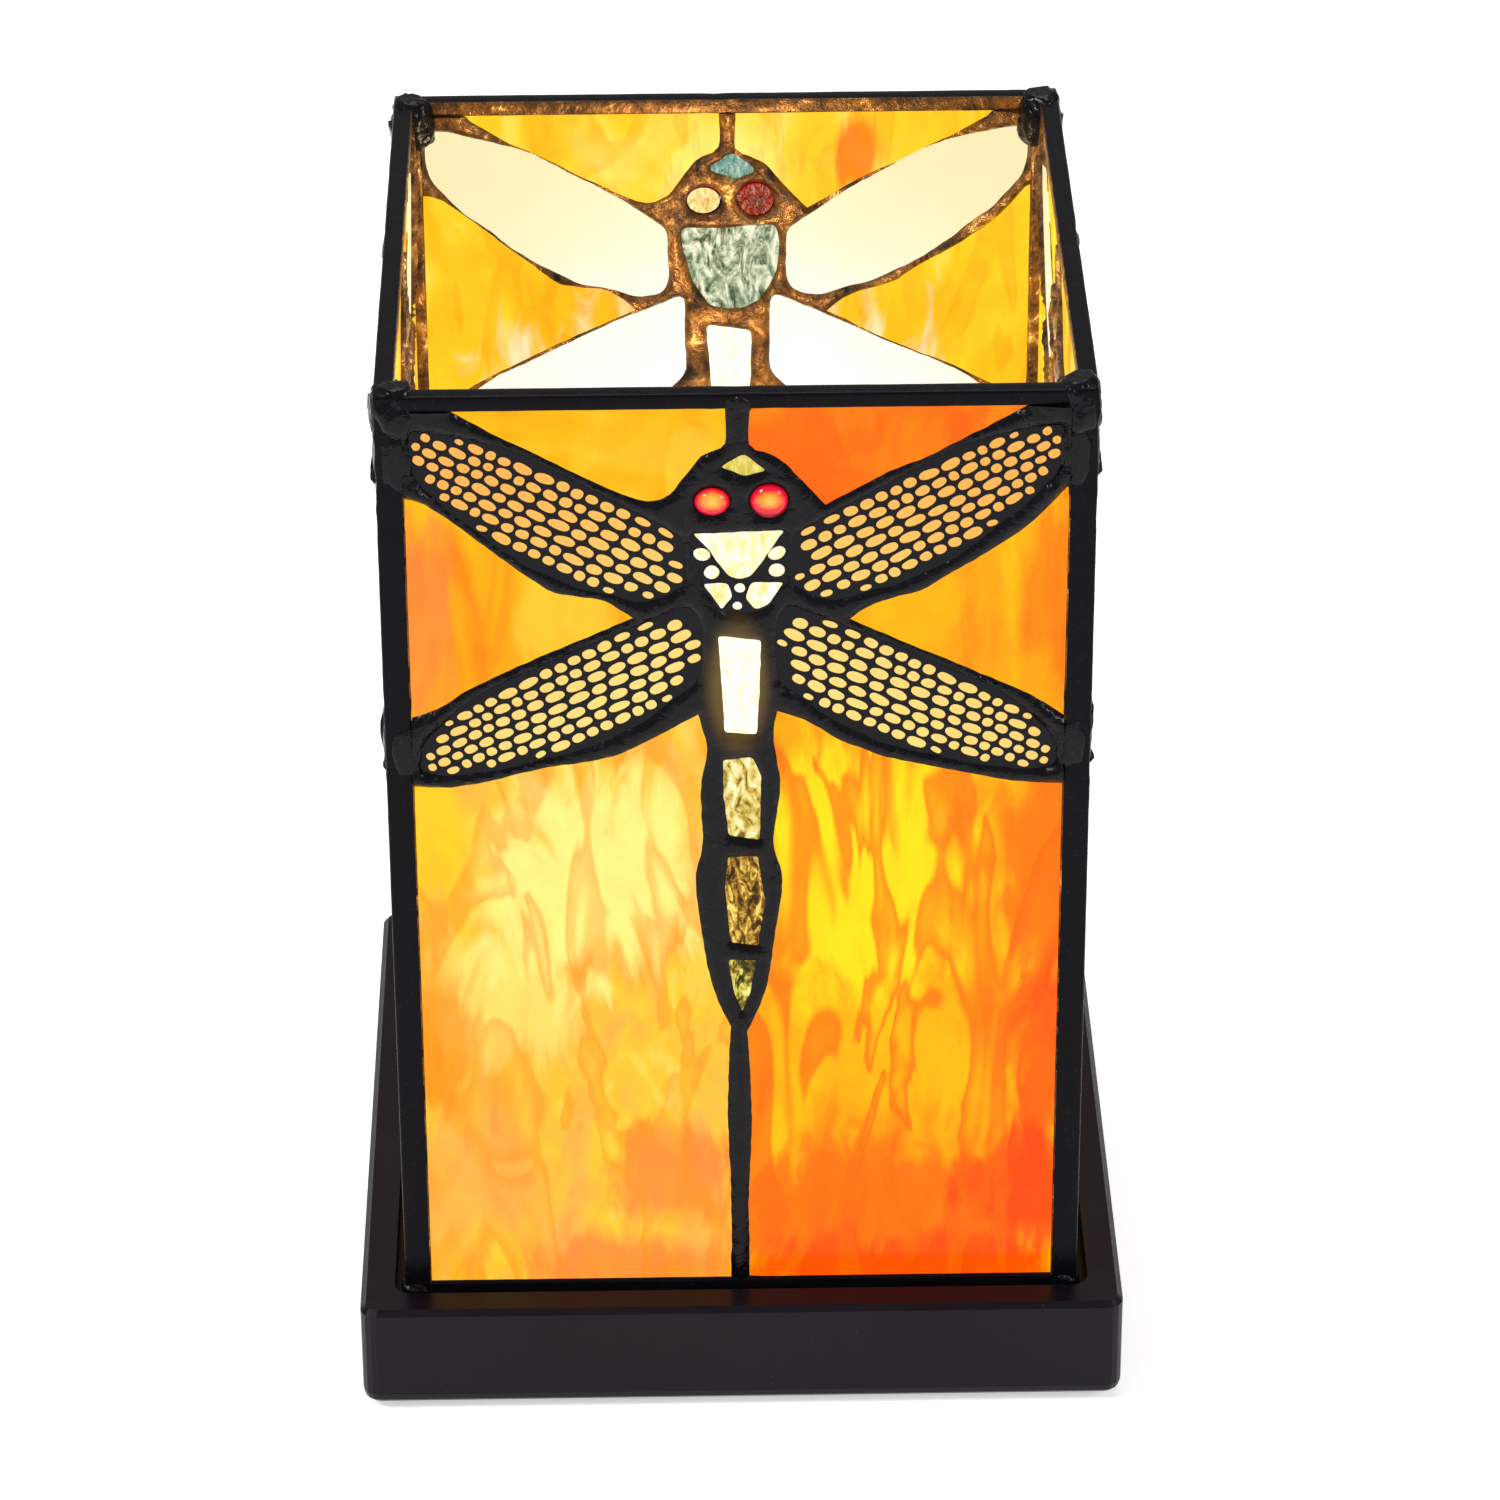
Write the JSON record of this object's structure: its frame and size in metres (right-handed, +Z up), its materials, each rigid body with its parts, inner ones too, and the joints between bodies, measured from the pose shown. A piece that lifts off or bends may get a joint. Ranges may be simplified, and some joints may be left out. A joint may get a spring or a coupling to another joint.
{
  "type": "stained glass table lamp",
  "caption": "Square open-topped stained glass accent lamp with dragonfly panels, standing loose in a wooden tray base round a candelabra socket and bulb.",
  "frame": {"origin": "middle of the base, on the surface that the lamp stands on", "axes": "+Z up, -Y the front panel that is seen, +X to the right of it"},
  "size_m": [0.136, 0.136, 0.2008],
  "materials": {
    "amber_glass": "streaky opalescent art glass",
    "wing_glass": "smooth ivory opalescent glass",
    "ripple_glass": "rippled clear and iridescent glass",
    "eye_glass": "glossy red cabochon",
    "patina_metal": "solder and channel with a black patina, semi-gloss",
    "filigree": "etched sheet with a black patina",
    "base_wood": "satin near-black paint",
    "pad": "matte",
    "bushing": "satin",
    "brass": "plain",
    "steel": "zinc plated",
    "phenolic": "moulded",
    "bulb_glass": "clear",
    "filament": "glowing filament on a glass stem"
  },
  "bodies": {
    "base": {"base_pad_back_left": "pad", "base_pad_back_right": "pad", "base_pad_front_left": "pad", "base_pad_front_right": "pad", "base_tray": "base_wood", "cord_bushing": "bushing", "nipple_nut": "steel", "nipple_washer": "brass", "socket_contact": "brass", "socket_housing": "phenolic", "socket_nipple": "brass", "socket_shell": "brass"},
    "shade": {"back_glass": "amber_glass", "back_leading": "patina_metal", "corner_post_back_left": "patina_metal", "corner_post_back_right": "patina_metal", "corner_post_front_left": "patina_metal", "corner_post_front_right": "patina_metal", "foot_channel_back": "patina_metal", "foot_channel_front": "patina_metal", "foot_channel_left": "patina_metal", "foot_channel_right": "patina_metal", "front_eye_left": "eye_glass", "front_eye_right": "eye_glass", "front_filigree_thorax": "filigree", "front_filigree_wing_lower_left": "filigree", "front_filigree_wing_lower_right": "filigree", "front_filigree_wing_upper_left": "filigree", "front_filigree_wing_upper_right": "filigree", "front_glass_abdomen_1": "ripple_glass", "front_glass_abdomen_2": "ripple_glass", "front_glass_abdomen_3": "ripple_glass", "front_glass_abdomen_4": "ripple_glass", "front_glass_head": "ripple_glass", "front_glass_lower_left": "amber_glass", "front_glass_lower_right": "amber_glass", "front_glass_middle_left": "amber_glass", "front_glass_middle_right": "amber_glass", "front_glass_thorax": "ripple_glass", "front_glass_top_left": "amber_glass", "front_glass_top_right": "amber_glass", "front_glass_wing_lower_left": "wing_glass", "front_glass_wing_lower_right": "wing_glass", "front_glass_wing_upper_left": "wing_glass", "front_glass_wing_upper_right": "wing_glass", "front_leading": "patina_metal", "left_glass": "amber_glass", "left_leading": "patina_metal", "right_glass": "amber_glass", "right_leading": "patina_metal", "rim_channel_back": "patina_metal", "rim_channel_front": "patina_metal", "rim_channel_left": "patina_metal", "rim_channel_right": "patina_metal"},
    "bulb_carrier": {"bulb_contact": "steel"},
    "bulb": {"bulb_cap": "brass", "bulb_glass": "bulb_glass", "bulb_filament": "filament"}
  },
  "joints": [
    {"name": "shade_lift", "type": "slide", "parent": "base", "child": "shade", "axis": [0, 0, 1], "range_m": [0, 0.14]},
    {"name": "bulb_rise", "type": "slide", "parent": "base", "child": "bulb_carrier", "axis": [0, 0, 1], "range_m": [0, 0.01397]},
    {"name": "bulb_turn", "type": "hinge", "parent": "bulb_carrier", "child": "bulb", "pos_m": [0, 0, 0.05], "axis": [0, 0, 1], "range_deg": [0, 1980]}
  ],
  "couplings": [
    {"joint": "bulb_rise", "follows": "bulb_turn", "m_per_rad": 0.00040425}
  ]
}
